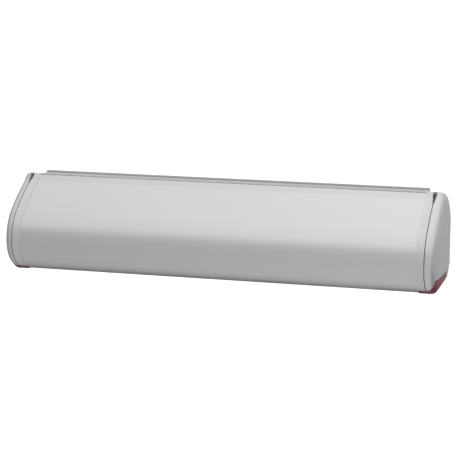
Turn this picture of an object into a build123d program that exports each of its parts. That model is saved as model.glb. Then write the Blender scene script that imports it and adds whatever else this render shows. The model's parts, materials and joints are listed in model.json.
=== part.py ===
from build123d import *
import os
from math import acos, asin, cos, pi, radians, sin, sqrt

os.makedirs("parts", exist_ok=True)

# Roll-out cassette awning for a van or caravan, closed.
# X runs along the awning, -Y points away from the wall and +Z up.
# The origin is in the wall face of the case, at mid length and mid height.

# Length and general clearances
body_length = 428.9
half_body = body_length / 2
seam_gap = 0.3
parting_gap = 0.8
working_gap = 0.4
shaft_gap = 0.05
overcut = 1.0

# Front profile: four tangent arcs from the top lip to the bottom edge
bulge_y = -86.0
bulge_z = -17.0
belly_radius = 42.2
belly_sweep = 51.5
slope_radius = 263.0
chin_radius = 28.5
chin_sweep = 49.0
keel_radius = 87.0
lip_y = -22.9
panel_bottom = -49.2
skin = 2.0

# Raised lip along the top of the lead bar
lip_top = 48.0
lip_crest = 2.3
lip_corner = 0.6
lip_fall = 0.2
lip_foot = 6.0
lip_return = 8.0

# Lead bar inside
shelf_top = -18.5
web = 1.8
flange_y = -28.9
flange_bottom = -46.5
port_radius = 3.4
port_bore = 1.4
port_sink = 0.5
port_room = 0.8
upper_port_y = -33.0
keder_radius = 2.2
keder_gap = 0.3
keder_wall = 1.5
keder_y = -63.5
keder_z = 14.5
keder_mouth = 1.6

# End bands of the lead bar
band_width = 8.74
band_proud = 0.6
band_depth = 11.0
band_wall = 2.0
band_bottom = -45.6
notch_depth = 1.7
notch_low = 42.0
notch_taper = 3.5
notch_back = -16.6
notch_reach = 40.0

# Case
back_wall = 2.2
top_wall_top = 48.0
top_wall = 1.8
top_front = -20.0
rail_width = 4.0
rail_top = 49.5
corner_block = 5.5
bottom_front = -27.5
bottom_lip = 5.0
lower_port_z = -40.0
middle_port_z = -13.0
top_port_rise = 0.6
slot_z = 33.0
slot_mouth = 10.0
slot_inside = 18.0
slot_depth = 4.8
slot_wall = 1.8

# Rubber gasket at the wall and bulb seal at the lip
gasket_z = 45.8
gasket_height = 3.0
gasket_depth = 3.4
gasket_bore = 0.9
seal_z = 44.1
seal_height = 1.2
seal_depth = 1.1
seal_bore = 0.6
seal_clearance = 0.25
groove_gap = 0.1

# Roller and canopy
roller_y = -31.0
roller_z = 8.0
tube_radius = 18.0
tube_wall = 1.5
tube_end_gap = 5.5
canopy_thickness = 0.6
canopy_roll_radius = 24.0
canopy_end_gap = 10.45
canopy_width = body_length - 2 * canopy_end_gap
groove_radius = 2.3
groove_depth = 4.0
plug_depth = 14.0
plug_flange = 1.5
journal_radius = 5.0
journal_length = 11.5
bush_wall = 1.5
mandrel_radius = 4.0
mandrel_tail = 12.0
hub_length = 8.0
spring_start = 75.0
spring_turns = 6
spring_mean_radius = 8.0
spring_wire = 2.4

# Shoulder and crown that the bands and the domed caps share
shoulder_foot_y = -29.5
shoulder_y = -23.4
shoulder_z = 47.9
crown_middle_y = -22.3
crown_middle_z = 49.0
crown_y = -20.6
crown_z = 49.4

# Domed end caps and the plates behind them
dome_depth = 13.5
dome_steps = (0.0, 0.5, 0.85, 0.97)
dome_power = 3.5
dome_root = 2.6
dome_low_power = 5.0
dome_low_root = 2.8
dome_centre_z = -2.0
dome_rear_top = 45.4
dome_bottom = -50.2
cap_bottom = -49.2
cap_wall = 2.6
hollow_share = 0.935
plate_thickness = 3.0
plate_share = 0.92
block_front = -19.6
block_drop = 0.6
block_wall = 2.0
boss_wall = 2.0
cap_screw_radius = 1.2
post_radius = 3.5
post_length = 7.5
post_end = 1.0
rib_thickness = 2.0

# Release levers
lever_pivot_y = -14.0
lever_thickness = 4.2
lever_tip_out = 10.4
lever_tip_z = -30.0
lever_bend_out = 8.9
lever_bend_z = -37.2
lever_heel_out = 5.0
lever_heel_z = -42.6
lever_flat_out = 2.0
lever_reach = 8.0
lever_pin_radius = 1.2
pin_inset = 0.5
pin_end = 4.6
knuckle_length = 4.2
spring_room = 3.4
coil_gap = 0.1

# Legs
leg_width = 11.0
leg_height = 17.0
leg_wall = 1.2
leg_slide_gap = 0.2
leg_pivot_z = -31.5
leg_pivot_end_gap = 10.95
lane_gap = 1.6
cheek = 1.0
leg_pin_radius = 2.0
head_length = 17.0
collar_length = 20.0
foot_toe = 8.0
foot_heel = 34.0
foot_drop = 9.0
foot_thickness = 2.5
toe_clearance = 20.0
inner_stick_out = 46.0
head_plug = 15.0
inner_back_gap = 2.0
inner_wall = 1.0
inner_corner = 0.6
tip_body = 10.0
tip_plug = 10.0
tongue_width = 6.6
tongue_radius = 4.5
trunnion_radius = 1.8
ear = 1.3
cam_drop = 2.6
cam_inset = 8.0
cam_length = 26.0
cam_taper = 1.0
cam_pin_radius = 1.2
foot_corner = 2.0
peg_radius = 2.6
peg_inset = 7.0
bracket_length = 22.0
bracket_base = 1.6
bracket_shift = 2.0
cheek_drop = 5.0

# Rafters stored behind the legs
rafter_y = -17.0
rafter_width = 12.0
rafter_height = 10.0
rafter_wall = 1.2
rafter_upper_z = -26.5
rafter_lower_z = -39.0
rafter_end_gap = 6.0
rafter_split = 60.0
rafter_slide_gap = 0.15
hook_length = 22.0
hook_block = 6.0
hook_plug = 10.0
hook_shank = 3.0
hook_knob = 4.2
hook_knob_length = 4.0
clip_spacing = 130.0
clip_length = 14.0
clip_wall = 1.3
clip_lip = 0.8

# Screws
screw_radius = 1.35
screw_gap = 0.2
screw_reach = 14.0
head_ratio = 2.0
head_height = 2.0
socket_share = 0.8
front_post_y = -58.0
front_post_z = -8.0
rear_post_y = -12.0
rear_post_z = -25.5


def write_piece(name, part):
    part.label = name
    export_step(part, f"parts/{name}.step")


def write_pair(stem, right_part):
    write_piece(f"{stem}_right", right_part)
    write_piece(f"{stem}_left", mirror(right_part, about=Plane.YZ))


shoulder = (shoulder_y, shoulder_z)
crown_middle = (crown_middle_y, crown_middle_z)
crown = (crown_y, crown_z)
cap_posts = ((front_post_y, front_post_z), (rear_post_y, rear_post_z))

belly_centre = (bulge_y + belly_radius, bulge_z)
slope_centre = (
    belly_centre[0] + (slope_radius - belly_radius) * cos(radians(belly_sweep)),
    belly_centre[1] - (slope_radius - belly_radius) * sin(radians(belly_sweep)),
)
chin_centre = (bulge_y + chin_radius, bulge_z)
keel_centre = (
    chin_centre[0] + (keel_radius - chin_radius) * cos(radians(chin_sweep)),
    chin_centre[1] + (keel_radius - chin_radius) * sin(radians(chin_sweep)),
)


def arc_points(centre, radius, start, end):
    """Start, middle and end of an arc, by angles in radians above the -Y direction."""
    angles = (start, (start + end) / 2, end)
    return [(centre[0] - radius * cos(a), centre[1] + radius * sin(a)) for a in angles]


def upper_arcs(inset, top_y):
    """The slope and belly arcs of the front, moved inwards by the inset."""
    top = acos((slope_centre[0] - top_y) / (slope_radius - inset))
    belly = radians(belly_sweep)
    return [
        arc_points(slope_centre, slope_radius - inset, top, belly),
        arc_points(belly_centre, belly_radius - inset, belly, 0),
    ]


def front_arcs(inset, top_y, bottom_z):
    """The four arcs of the front, moved inwards by the inset, from the top down."""
    low = -asin((keel_centre[1] - bottom_z) / (keel_radius - inset))
    chin = -radians(chin_sweep)
    return upper_arcs(inset, top_y) + [
        arc_points(chin_centre, chin_radius - inset, 0, chin),
        arc_points(keel_centre, keel_radius - inset, chin, low),
    ]


def front_band(outer_inset, inner_inset, top_y, bottom_z):
    """Face between two insets of the front, added to the sketch that is open."""
    outer = front_arcs(outer_inset, top_y, bottom_z)
    inner = front_arcs(inner_inset, top_y, bottom_z)
    with BuildLine() as outline:
        for arc in outer + inner:
            ThreePointArc(*arc)
        Line(outer[-1][2], inner[-1][2])
        Line(outer[0][0], inner[0][0])
    make_face(outline.edges())


def polygon(*points):
    """Straight-sided face through the points, added to the sketch that is open."""
    with BuildLine() as outline:
        Polyline(*points, close=True)
    make_face(outline.edges())


def strip(low_y, high_y, low_z, high_z, mode=Mode.ADD):
    """Rectangle by its edges, added to the sketch that is open."""
    with Locations(((low_y + high_y) / 2, (low_z + high_z) / 2)):
        Rectangle(high_y - low_y, high_z - low_z, mode=mode)


def slope_point(y, inset):
    """Point of the sloping arc at one Y, moved inwards along its radius."""
    angle = acos((slope_centre[0] - y) / slope_radius)
    radius = slope_radius - inset
    return slope_centre[0] - radius * cos(angle), slope_centre[1] + radius * sin(angle)


def belly_point(z, inset):
    """Point of the belly arc at one Z, moved inwards along its radius."""
    angle = asin((z - belly_centre[1]) / belly_radius)
    radius = belly_radius - inset
    return belly_centre[0] - radius * cos(angle), belly_centre[1] + radius * sin(angle)


port_inset = skin + port_radius - port_sink
bar_ports = (
    belly_point(shelf_top + port_radius - port_sink, port_inset),
    slope_point(upper_port_y, port_inset),
)
case_ports = (
    (-back_wall - port_radius + port_sink, lower_port_z),
    (-back_wall - port_radius + port_sink, middle_port_z),
    (top_front + web + port_radius - port_sink, top_wall_top - lip_return + top_port_rise),
)

# Where the canopy leaves the roll for the lead bar
keder_distance = sqrt((roller_y - keder_y) ** 2 + (roller_z - keder_z) ** 2)
exit_angle = (
    pi
    - asin((keder_z - roller_z) / keder_distance)
    - acos(canopy_roll_radius / keder_distance)
)
free_length = sqrt(keder_distance**2 - canopy_roll_radius**2)
strip_direction = (sin(exit_angle), -cos(exit_angle))
strip_tilt = exit_angle * 180 / pi - 90
mouth_length = keder_radius + keder_gap + 2 * keder_wall


# Case: an extrusion with rail, screw ports and bottom tray, open at the wall slot
channel_low = slot_z - slot_inside / 2 - slot_wall
channel_top = slot_z + slot_inside / 2 + slot_wall
with BuildPart() as case_back:
    with BuildSketch(Plane.YZ.offset(-half_body)):
        strip(-back_wall, 0, panel_bottom, rail_top)
        strip(top_front, 0, top_wall_top - top_wall, top_wall_top)
        strip(-rail_width, 0, top_wall_top - top_wall, rail_top)
        strip(-corner_block, 0, channel_top, top_wall_top)
        strip(top_front, top_front + web, top_wall_top - lip_return, top_wall_top)
        strip(bottom_front, 0, panel_bottom, panel_bottom + back_wall)
        strip(bottom_front, bottom_front + web, panel_bottom, panel_bottom + bottom_lip)
        with Locations(*case_ports):
            Circle(port_radius)
            Circle(port_bore, mode=Mode.SUBTRACT)
        strip(
            -back_wall,
            0,
            slot_z - slot_mouth / 2,
            slot_z + slot_mouth / 2,
            mode=Mode.SUBTRACT,
        )
        strip(
            -gasket_depth - groove_gap,
            0,
            gasket_z - gasket_height / 2 - groove_gap,
            gasket_z + gasket_height / 2 + groove_gap,
            mode=Mode.SUBTRACT,
        )
        strip(
            top_front,
            top_front + seal_depth + groove_gap,
            seal_z - seal_height / 2 - groove_gap,
            seal_z + seal_height / 2 + groove_gap,
            mode=Mode.SUBTRACT,
        )
    extrude(amount=body_length)
write_piece("case_back", case_back.part)

# Channel in front of the slot, in which the tongues of the wall brackets slide
with BuildPart() as bracket_channel:
    with BuildSketch(Plane.YZ.offset(-half_body)):
        strip(-back_wall - slot_depth - slot_wall, -back_wall, channel_low, channel_top)
        strip(
            -back_wall - slot_depth,
            -back_wall,
            slot_z - slot_inside / 2,
            slot_z + slot_inside / 2,
            mode=Mode.SUBTRACT,
        )
    extrude(amount=body_length)
write_piece("bracket_channel", bracket_channel.part)

# Rubber gasket that seals the case to the wall
with BuildPart() as wall_gasket:
    with BuildSketch(Plane.YZ.offset(-half_body)):
        strip(-gasket_depth, 0, gasket_z - gasket_height / 2, gasket_z + gasket_height / 2)
        with Locations((-gasket_depth / 2, gasket_z)):
            Circle(gasket_bore, mode=Mode.SUBTRACT)
    extrude(amount=body_length)
write_piece("wall_gasket", wall_gasket.part)

# Rubber seal between the case and the lip of the lead bar
seal_bulb = (top_front - lip_y) / 2 - seal_clearance
with BuildPart() as lip_seal:
    with BuildSketch(Plane.YZ.offset(-half_body)):
        with Locations((top_front - seal_bulb, seal_z)):
            Circle(seal_bulb)
            Circle(seal_bore, mode=Mode.SUBTRACT)
        strip(
            top_front - seal_bulb + seal_bore,
            top_front + seal_depth,
            seal_z - seal_height / 2,
            seal_z + seal_height / 2,
        )
    extrude(amount=body_length)
write_piece("lip_seal", lip_seal.part)

# Lead bar: front panel with shelf, leg channel, canopy groove and screw ports
with BuildPart() as lead_bar:
    with BuildSketch(Plane.YZ.offset(-half_body)):
        front_band(0, skin, lip_y, panel_bottom)
        lip_front = slope_point(lip_y - lip_foot, 0)
        lip_back = slope_point(lip_y - lip_foot, skin / 2)
        polygon(
            (lip_y, lip_top - lip_return),
            (lip_y, lip_top - lip_corner),
            (lip_y - lip_corner, lip_top),
            (lip_y - lip_crest, lip_top - lip_fall),
            lip_front,
            lip_back,
            (lip_y - web, slope_point(lip_y, skin)[1]),
            (lip_y - web, lip_top - lip_return),
        )
        strip(belly_point(shelf_top, skin / 2)[0], flange_y, shelf_top - web, shelf_top)
        strip(flange_y - web, flange_y, flange_bottom, shelf_top)
        with Locations((keder_y, keder_z)):
            Circle(keder_radius + keder_gap + keder_wall)
        with Locations(*bar_ports):
            Circle(port_radius)
        with Locations(*bar_ports):
            Circle(port_bore, mode=Mode.SUBTRACT)
        with Locations((keder_y, keder_z)):
            Circle(keder_radius + keder_gap, mode=Mode.SUBTRACT)
        with Locations(
            (
                keder_y + mouth_length / 2 * strip_direction[0],
                keder_z + mouth_length / 2 * strip_direction[1],
            )
        ):
            Rectangle(mouth_length, keder_mouth, rotation=strip_tilt, mode=Mode.SUBTRACT)
    extrude(amount=body_length)
write_piece("lead_bar", lead_bar.part)

# Canopy edge cord in the groove of the lead bar
with BuildPart() as canopy_keder:
    with BuildSketch(Plane.YZ.offset(-canopy_width / 2)):
        with Locations((keder_y, keder_z)):
            Circle(keder_radius)
    extrude(amount=canopy_width)
write_piece("canopy_keder", canopy_keder.part)

# Free stretch of canopy between the roll and the lead bar
strip_start = keder_radius + shaft_gap
strip_end = free_length - seam_gap
with BuildPart() as canopy_sheet:
    with BuildSketch(Plane.YZ.offset(-canopy_width / 2)):
        middle = (strip_start + strip_end) / 2
        with Locations(
            (keder_y + middle * strip_direction[0], keder_z + middle * strip_direction[1])
        ):
            Rectangle(strip_end - strip_start, canopy_thickness, rotation=strip_tilt)
    extrude(amount=canopy_width)
write_piece("canopy_sheet", canopy_sheet.part)

# Roller tube with the groove that holds the canopy
tube_half = half_body - tube_end_gap
with BuildPart() as roller_tube:
    with BuildSketch(Plane.YZ.offset(-tube_half)):
        with Locations((roller_y, roller_z)):
            Circle(tube_radius)
            Circle(tube_radius - tube_wall, mode=Mode.SUBTRACT)
        with Locations((roller_y, roller_z + tube_radius - groove_depth)):
            Circle(groove_radius + tube_wall)
            Circle(groove_radius, mode=Mode.SUBTRACT)
        with Locations((roller_y, roller_z + tube_radius - groove_depth / 2)):
            Rectangle(keder_mouth, groove_depth, mode=Mode.SUBTRACT)
    extrude(amount=2 * tube_half)
write_piece("roller_tube", roller_tube.part)

# Wound canopy: a core and one outer layer that leaves the roll at the exit point
core_radius = canopy_roll_radius - canopy_thickness


def roll_point(radius, turned):
    angle = exit_angle - turned
    return roller_y + radius * cos(angle), roller_z + radius * sin(angle)


with BuildPart() as canopy_roll:
    with BuildSketch(Plane.YZ.offset(-canopy_width / 2)):
        with BuildLine() as wind:
            for half_turn in range(2):
                outer = canopy_roll_radius - half_turn * canopy_thickness / 2
                inner = outer - canopy_thickness / 2
                start = roll_point(outer, half_turn * pi)
                middle = roll_point((outer + inner) / 2, (half_turn + 0.5) * pi)
                end = roll_point(inner, (half_turn + 1) * pi)
                ThreePointArc(start, middle, end)
            Line(roll_point(core_radius, 2 * pi), roll_point(canopy_roll_radius, 0))
        make_face(wind.edges())
        with Locations((roller_y, roller_z)):
            Circle(tube_radius + shaft_gap, mode=Mode.SUBTRACT)
    extrude(amount=canopy_width)
write_piece("canopy_roll", canopy_roll.part)

# Plugs in the tube ends: the left one turns on a journal, the right one on the mandrel
bush_bore = journal_radius + shaft_gap
bush_outer = bush_bore + bush_wall
for side, name in ((-1, "roller_plug_left"), (1, "roller_plug_right")):
    flange_x = side * (tube_half + plug_flange)
    with BuildPart() as plug:
        with BuildSketch(Plane.YZ.offset(side * tube_half)):
            with Locations((roller_y, roller_z)):
                Circle(tube_radius - tube_wall - shaft_gap)
            with Locations((roller_y, roller_z + tube_radius - groove_depth)):
                Circle(groove_radius + tube_wall + shaft_gap, mode=Mode.SUBTRACT)
        extrude(amount=-side * plug_depth)
        with BuildSketch(Plane.YZ.offset(side * tube_half)):
            with Locations((roller_y, roller_z)):
                Circle(tube_radius)
        extrude(amount=side * plug_flange)
        if side < 0:
            with BuildSketch(Plane.YZ.offset(flange_x)):
                with Locations((roller_y, roller_z)):
                    Circle(journal_radius)
            extrude(amount=side * journal_length)
        else:
            with BuildSketch(Plane.YZ.offset(flange_x)):
                with Locations((roller_y, roller_z)):
                    Circle(mandrel_radius + shaft_gap)
            extrude(amount=-plug_depth - plug_flange, mode=Mode.SUBTRACT)
    write_piece(name, plug.part)

# Bush for the journal, and the square-bored anchor that keeps the mandrel from turning
boss_start = half_body - tube_end_gap + plug_flange + 2 * working_gap
rim_x = half_body + band_width + parting_gap
plate_in = rim_x
plate_out = plate_in + plate_thickness
with BuildPart() as bearing_bush:
    with BuildSketch(Plane.YZ.offset(-boss_start)):
        with Locations((roller_y, roller_z)):
            Circle(bush_outer)
            Circle(bush_bore, mode=Mode.SUBTRACT)
    extrude(amount=boss_start - plate_out)
write_piece("bearing_bush", bearing_bush.part)

square = mandrel_radius * sqrt(2)
with BuildPart() as mandrel_anchor:
    with BuildSketch(Plane.YZ.offset(boss_start)):
        with Locations((roller_y, roller_z)):
            Circle(bush_outer)
            Rectangle(square + shaft_gap, square + shaft_gap, mode=Mode.SUBTRACT)
    extrude(amount=plate_out - boss_start)
write_piece("mandrel_anchor", mandrel_anchor.part)

with BuildPart() as spring_mandrel:
    with BuildSketch(Plane.YZ.offset(spring_start - mandrel_tail)):
        with Locations((roller_y, roller_z)):
            Circle(mandrel_radius)
    extrude(amount=boss_start - working_gap - spring_start + mandrel_tail)
    with BuildSketch(Plane.YZ.offset(boss_start - working_gap)):
        with Locations((roller_y, roller_z)):
            Rectangle(square, square)
    extrude(amount=plate_out - boss_start + working_gap)
    with BuildSketch(Plane.YZ.offset(spring_start - spring_wire - seam_gap)):
        with Locations((roller_y, roller_z)):
            Circle(spring_mean_radius + spring_wire / 2)
    extrude(amount=-hub_length)
write_piece("spring_mandrel", spring_mandrel.part)

# Counterbalance spring between the hub of the mandrel and the right plug
spring_length = tube_half - plug_depth - spring_wire - working_gap - spring_start
with BuildPart() as torsion_spring:
    with BuildLine():
        spring_path = Helix(
            pitch=spring_length / spring_turns,
            height=spring_length,
            radius=spring_mean_radius,
            center=(spring_start, roller_y, roller_z),
            direction=(1, 0, 0),
        )
    with BuildSketch(Plane(origin=spring_path @ 0, z_dir=spring_path % 0)):
        Rectangle(spring_wire, spring_wire)
    sweep(is_frenet=True)
write_piece("torsion_spring", torsion_spring.part)


# Domed end caps
def scaled(point, share, low_share, rear):
    """Section point scaled towards the rear and the centre height, less so below it."""
    height = point[1] - dome_centre_z
    return rear + point[0] * share, dome_centre_z + height * (share if height > 0 else low_share)


def dome_outline(share, low_share, rear):
    """Closed outline of one section of the dome, added to the sketch that is open."""
    arcs = front_arcs(-band_proud, shoulder_foot_y, dome_bottom)
    arcs.append([shoulder, crown_middle, crown])
    arcs = [[scaled(point, share, low_share, rear) for point in arc] for arc in arcs]
    rear_bottom = scaled((0, dome_bottom), share, low_share, rear)
    rear_top = scaled((0, dome_rear_top), share, low_share, rear)
    with BuildLine() as outline:
        for arc in arcs:
            ThreePointArc(*arc)
        Line(arcs[0][0], arcs[-1][0])
        Polyline(arcs[3][2], rear_bottom, rear_top, arcs[-1][2])
    make_face(outline.edges())


def dome(depth, share, rear):
    """Dome between the rim and its flat side, as a loft through shrinking sections."""
    with BuildPart() as solid:
        for step in dome_steps:
            upper = share * (1 - step**dome_power) ** (1 / dome_root)
            lower = share * (1 - step**dome_low_power) ** (1 / dome_low_root)
            with BuildSketch(Plane.YZ.offset(rim_x + depth * step)):
                dome_outline(upper, lower, rear)
        loft()
    return solid.part


outer_dome = dome(dome_depth, 1.0, 0)
dome_hollow = dome(dome_depth - cap_wall, hollow_share, -back_wall)
lever_top = band_bottom - working_gap
knuckle_radius = lever_thickness / 2
pivot_z = lever_top - knuckle_radius
lever_start = half_body + working_gap
spring_x = rim_x + working_gap


def lever_region(gap):
    """Outline of the lever seen from the front, grown by a gap, in the open sketch."""
    with BuildLine() as outline:
        tip = (rim_x + lever_tip_out, lever_tip_z)
        heel = (rim_x + lever_heel_out, lever_heel_z)
        outside = tip[0] + lever_reach
        ThreePointArc(tip, (rim_x + lever_bend_out, lever_bend_z), heel)
        Polyline(
            heel,
            (rim_x + lever_flat_out, lever_top),
            (lever_start, lever_top),
            (lever_start, lever_top - 2 * lever_thickness),
            (outside, lever_top - 2 * lever_thickness),
            (outside, lever_tip_z),
            tip,
        )
    make_face(outline.edges())
    if gap > 0:
        offset(amount=gap)


def head_radius(shank):
    return head_ratio * shank


with BuildPart() as end_cap:
    add(outer_dome)
    add(dome_hollow, mode=Mode.SUBTRACT)
    with BuildSketch(Plane.XY.offset(dome_bottom - overcut)):
        with Locations((rim_x + dome_depth / 2, bulge_y / 2)):
            Rectangle(2 * dome_depth, -2 * bulge_y)
    extrude(amount=cap_bottom - dome_bottom + overcut, mode=Mode.SUBTRACT)
    with BuildSketch(Plane.XZ.offset(-lever_pivot_y - working_gap)):
        lever_region(working_gap)
    extrude(amount=-2 * bulge_y, mode=Mode.SUBTRACT)
    with BuildSketch(Plane.YZ.offset(rim_x - overcut)):
        with Locations((lever_pivot_y, pivot_z)):
            Circle(knuckle_radius + working_gap)
    extrude(amount=2 * dome_depth, mode=Mode.SUBTRACT)
    with BuildSketch(Plane.YZ.offset(plate_out)):
        with Locations(*cap_posts):
            Circle(post_radius)
    extrude(amount=post_length)
    with BuildSketch(Plane.YZ.offset(plate_out)):
        with Locations(*cap_posts):
            Circle(cap_screw_radius + shaft_gap)
    extrude(amount=post_length - post_end, mode=Mode.SUBTRACT)
    with BuildSketch(Plane.XZ.offset(-notch_back)):
        polygon(
            (rim_x - overcut, crown_z + overcut),
            (rim_x + notch_depth, crown_z + overcut),
            (rim_x + notch_depth, notch_low + notch_taper),
            (rim_x, notch_low - notch_taper),
            (rim_x - overcut, notch_low - notch_taper),
        )
    extrude(amount=notch_reach, mode=Mode.SUBTRACT)
write_pair("end_cap", end_cap.part)

# Release levers: the corner of the dome with a knuckle each side of its spring
with BuildPart() as lever_space:
    with BuildSketch(Plane.XZ.offset(-lever_pivot_y)):
        lever_region(0)
    extrude(amount=-2 * bulge_y)
    with BuildSketch(Plane.YZ.offset(lever_start)):
        with Locations((lever_pivot_y, pivot_z)):
            Circle(knuckle_radius)
    extrude(amount=dome_depth + band_width)

with BuildPart() as lever:
    with BuildSketch(Plane.YZ.offset(lever_start)):
        dome_outline(1.0, 1.0, 0)
    extrude(amount=rim_x - lever_start)
    add(outer_dome)
    add(lever_space.part, mode=Mode.INTERSECT)
    with BuildSketch(Plane.YZ.offset(lever_start + knuckle_length)):
        strip(
            lever_pivot_y - knuckle_radius - working_gap,
            lever_pivot_y + 2 * knuckle_radius,
            dome_bottom - overcut,
            lever_top + overcut,
        )
    extrude(amount=spring_x + spring_room - lever_start - knuckle_length, mode=Mode.SUBTRACT)
    with BuildSketch(Plane.YZ.offset(half_body)):
        with Locations((lever_pivot_y, pivot_z)):
            Circle(lever_pin_radius + shaft_gap)
    extrude(amount=dome_depth + band_width, mode=Mode.SUBTRACT)
write_pair("release_lever", lever.part)

# Pin and return spring of each lever
with BuildPart() as lever_pin:
    with BuildSketch(Plane.YZ.offset(lever_start + pin_inset)):
        with Locations((lever_pivot_y, pivot_z)):
            Circle(lever_pin_radius)
    extrude(amount=rim_x + pin_end - lever_start - pin_inset)
write_pair("lever_pin", lever_pin.part)

with BuildPart() as lever_spring:
    with BuildSketch(Plane.YZ.offset(spring_x)):
        with Locations((lever_pivot_y, pivot_z)):
            Circle(knuckle_radius - coil_gap)
            Circle(lever_pin_radius + shaft_gap, mode=Mode.SUBTRACT)
    extrude(amount=spring_room - working_gap)
write_pair("lever_spring", lever_spring.part)

# Plates that close the case and carry the roller, behind the domed caps
with BuildPart() as end_plate:
    with BuildSketch(Plane.YZ.offset(plate_in)):
        dome_outline(plate_share, plate_share, -back_wall)
    extrude(amount=plate_thickness)
    with BuildSketch(Plane.YZ.offset(half_body)):
        polygon(
            (0, cap_bottom),
            (0, dome_rear_top),
            (block_front, top_wall_top - block_drop),
            (block_front, cap_bottom),
        )
    extrude(amount=plate_in - half_body)
    with BuildSketch(Plane.YZ.offset(half_body)):
        polygon(
            (-block_wall, cap_bottom + block_wall),
            (-block_wall, dome_rear_top - block_wall),
            (block_front + block_wall, top_wall_top - block_drop - block_wall),
            (block_front + block_wall, cap_bottom + block_wall),
        )
        with Locations(*case_ports):
            Circle(port_radius + port_room, mode=Mode.SUBTRACT)
    extrude(amount=band_width - block_wall, mode=Mode.SUBTRACT)
    with BuildSketch(Plane.YZ.offset(boss_start)):
        with Locations((roller_y, roller_z)):
            Circle(bush_outer + boss_wall)
    extrude(amount=plate_out - boss_start)
    with BuildSketch(Plane.YZ.offset(half_body)):
        strip(roller_y, block_front, roller_z - rib_thickness / 2, roller_z + rib_thickness / 2)
    extrude(amount=plate_in - half_body)
    with BuildSketch(Plane.XZ.offset(-lever_pivot_y - 2 * working_gap)):
        lever_region(2 * working_gap)
    extrude(amount=-2 * bulge_y, mode=Mode.SUBTRACT)
    with BuildSketch(Plane.YZ.offset(half_body)):
        with Locations((lever_pivot_y, pivot_z)):
            Circle(knuckle_radius + working_gap)
    extrude(amount=lever_start + knuckle_length - half_body, mode=Mode.SUBTRACT)
    with BuildSketch(Plane.YZ.offset(lever_start + knuckle_length + seam_gap)):
        with Locations((lever_pivot_y, pivot_z)):
            Circle(knuckle_radius)
        strip(
            lever_pivot_y,
            lever_pivot_y + 2 * knuckle_radius,
            pivot_z - knuckle_radius,
            pivot_z + knuckle_radius,
        )
    extrude(amount=rim_x - lever_start - knuckle_length - seam_gap)
    with BuildSketch(Plane.YZ.offset(plate_in)):
        with Locations((lever_pivot_y, pivot_z)):
            Circle(knuckle_radius + seam_gap)
    extrude(amount=plate_thickness, mode=Mode.SUBTRACT)
    with BuildSketch(Plane.YZ.offset(boss_start - overcut)):
        with Locations((roller_y, roller_z)):
            Circle(bush_outer + shaft_gap)
        with Locations((lever_pivot_y, pivot_z)):
            Circle(lever_pin_radius + shaft_gap)
        with Locations(*case_ports):
            Circle(screw_radius + screw_gap)
        with Locations(*cap_posts):
            Circle(cap_screw_radius + screw_gap)
    extrude(amount=plate_out - boss_start + 2 * overcut, mode=Mode.SUBTRACT)
    with BuildSketch(Plane.YZ.offset(plate_out)):
        with Locations(*case_ports):
            Circle(head_radius(screw_radius) + seam_gap)
    extrude(amount=-head_height - screw_gap, mode=Mode.SUBTRACT)
    with BuildSketch(Plane.YZ.offset(plate_in - block_wall - overcut)):
        with Locations(*cap_posts):
            Circle(head_radius(cap_screw_radius) + seam_gap)
    extrude(amount=block_wall + overcut + head_height + screw_gap, mode=Mode.SUBTRACT)
write_pair("end_plate", end_plate.part)


def screw(head_x, tip_x, centre, shank):
    """Pan-head screw along X, from its head's outer face to its tip."""
    inward = 1 if tip_x > head_x else -1
    with BuildSketch(Plane.YZ.offset(head_x)) as head_face:
        with Locations(centre):
            Circle(head_radius(shank))
    with BuildSketch(Plane.YZ.offset(head_x)) as shank_face:
        with Locations(centre):
            Circle(shank)
    with BuildSketch(Plane.YZ.offset(head_x)) as socket_face:
        with Locations(centre):
            RegularPolygon(shank * socket_share, 6)
    extrude(head_face.sketch, amount=inward * head_height)
    extrude(shank_face.sketch, amount=tip_x - head_x)
    extrude(socket_face.sketch, amount=inward * head_height * socket_share, mode=Mode.SUBTRACT)


with BuildPart() as end_plate_screws:
    for centre in case_ports:
        screw(plate_out - screw_gap, half_body - screw_reach, centre, screw_radius)
write_pair("end_plate_screws", end_plate_screws.part)

with BuildPart() as end_cap_screws:
    for centre in cap_posts:
        tip = plate_out + post_length - post_end - working_gap
        screw(plate_in + screw_gap, tip, centre, cap_screw_radius)
write_pair("end_cap_screws", end_cap_screws.part)

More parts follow.
